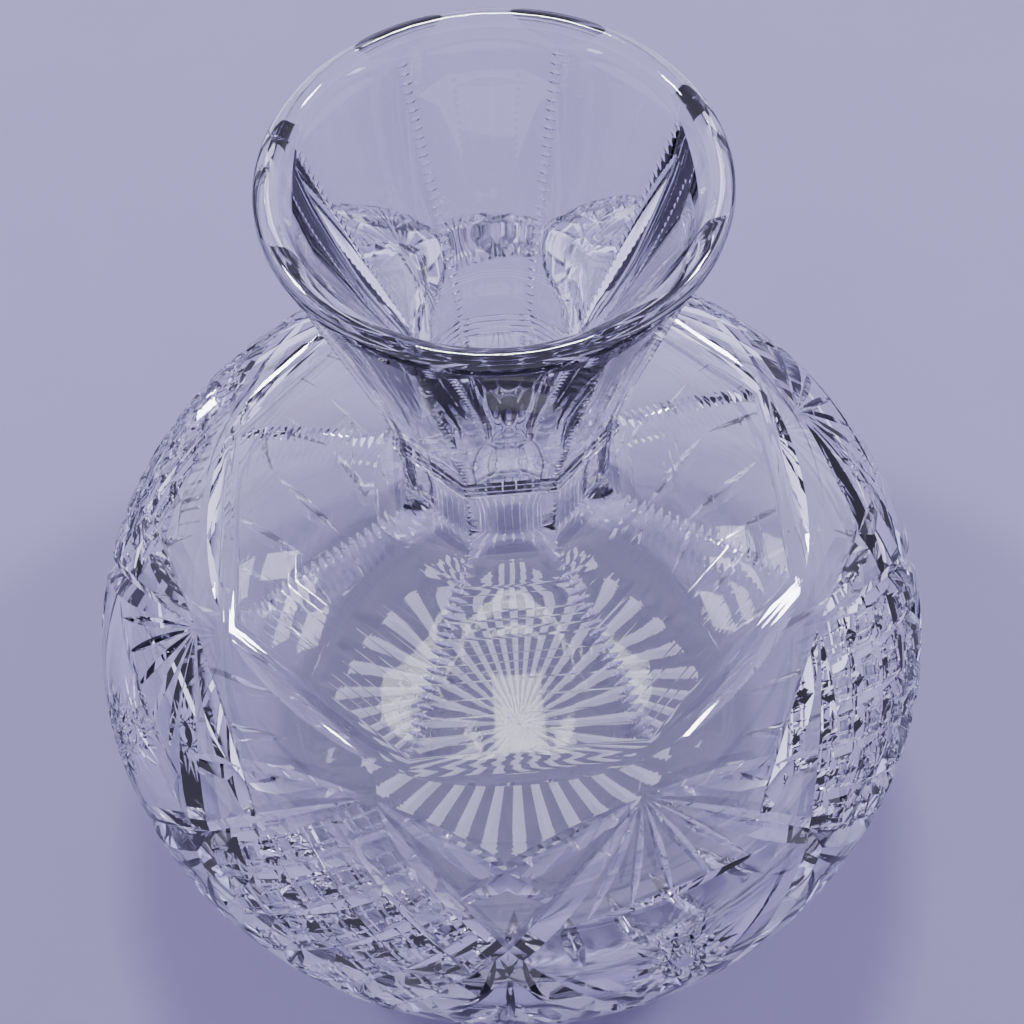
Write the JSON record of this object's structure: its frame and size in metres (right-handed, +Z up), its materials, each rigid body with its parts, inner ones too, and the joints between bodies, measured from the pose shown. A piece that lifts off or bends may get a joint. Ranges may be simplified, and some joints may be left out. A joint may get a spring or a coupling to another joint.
{
  "type": "wine decanter",
  "caption": "Squat round cut-glass wine decanter with a narrow fluted neck and a wide flared pouring mouth, free-standing on a flat foot.",
  "frame": {"origin": "centre of the foot's resting plane, on the vessel's axis", "axes": "+Z up along the vessel's axis, front of the cutting towards -Y"},
  "size_m": [0.156, 0.156, 0.1705],
  "materials": {
    "glass": "polished"
  },
  "bodies": {
    "root": {"decanter_glass": "glass"}
  },
  "joints": []
}
